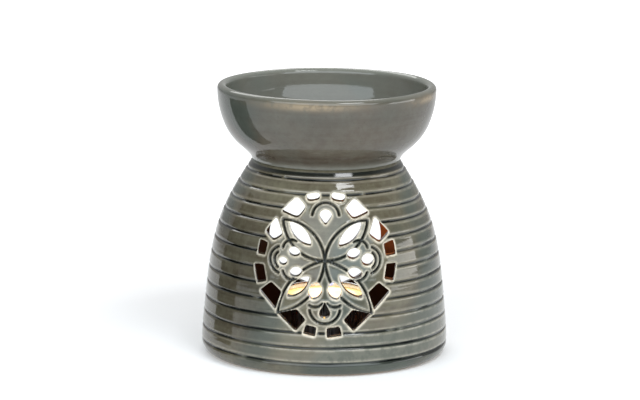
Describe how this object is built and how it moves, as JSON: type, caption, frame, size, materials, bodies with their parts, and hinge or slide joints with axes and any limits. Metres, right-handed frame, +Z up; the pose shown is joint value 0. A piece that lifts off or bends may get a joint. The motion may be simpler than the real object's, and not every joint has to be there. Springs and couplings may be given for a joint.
{
  "type": "essential oil burner",
  "caption": "Glazed stoneware dome with turned rings and a pierced rosette, heated by a tealight put in through a round back door, under a lift-off dish for water and scented oil.",
  "frame": {"origin": "on the table, under the middle of the foot ring", "axes": "+Z up; -Y is the front with the pierced rosette; +Y is the back with the tealight door"},
  "size_m": [0.112, 0.112, 0.1235],
  "materials": {
    "body_glaze": "glossy grey-green glaze, darker in the turned rings, thin and tan at the cut edges",
    "dish_glaze": "glossy grey-brown glaze, thin and tan along the rim",
    "cup_foil": "pressed foil, bright",
    "wax": "white paraffin wax, slightly translucent",
    "wick_cotton": "braided cotton, charred at the tip",
    "sustainer_tin": "tinned sheet"
  },
  "bodies": {
    "burner": {"burner_body": "body_glaze"},
    "dish": {"oil_dish": "dish_glaze"},
    "tealight": {"tealight_cup": "cup_foil", "candle_wax": "wax", "candle_wick": "wick_cotton", "wick_sustainer": "sustainer_tin"}
  },
  "joints": [
    {"name": "dish_lift", "type": "slide", "parent": "burner", "child": "dish", "axis": [0, 0, 1], "range_m": [0, 0.06]},
    {"name": "tealight_slide", "type": "slide", "parent": "burner", "child": "tealight", "axis": [0, 0.8829, 0.4695], "range_m": [0, 0.1]}
  ]
}
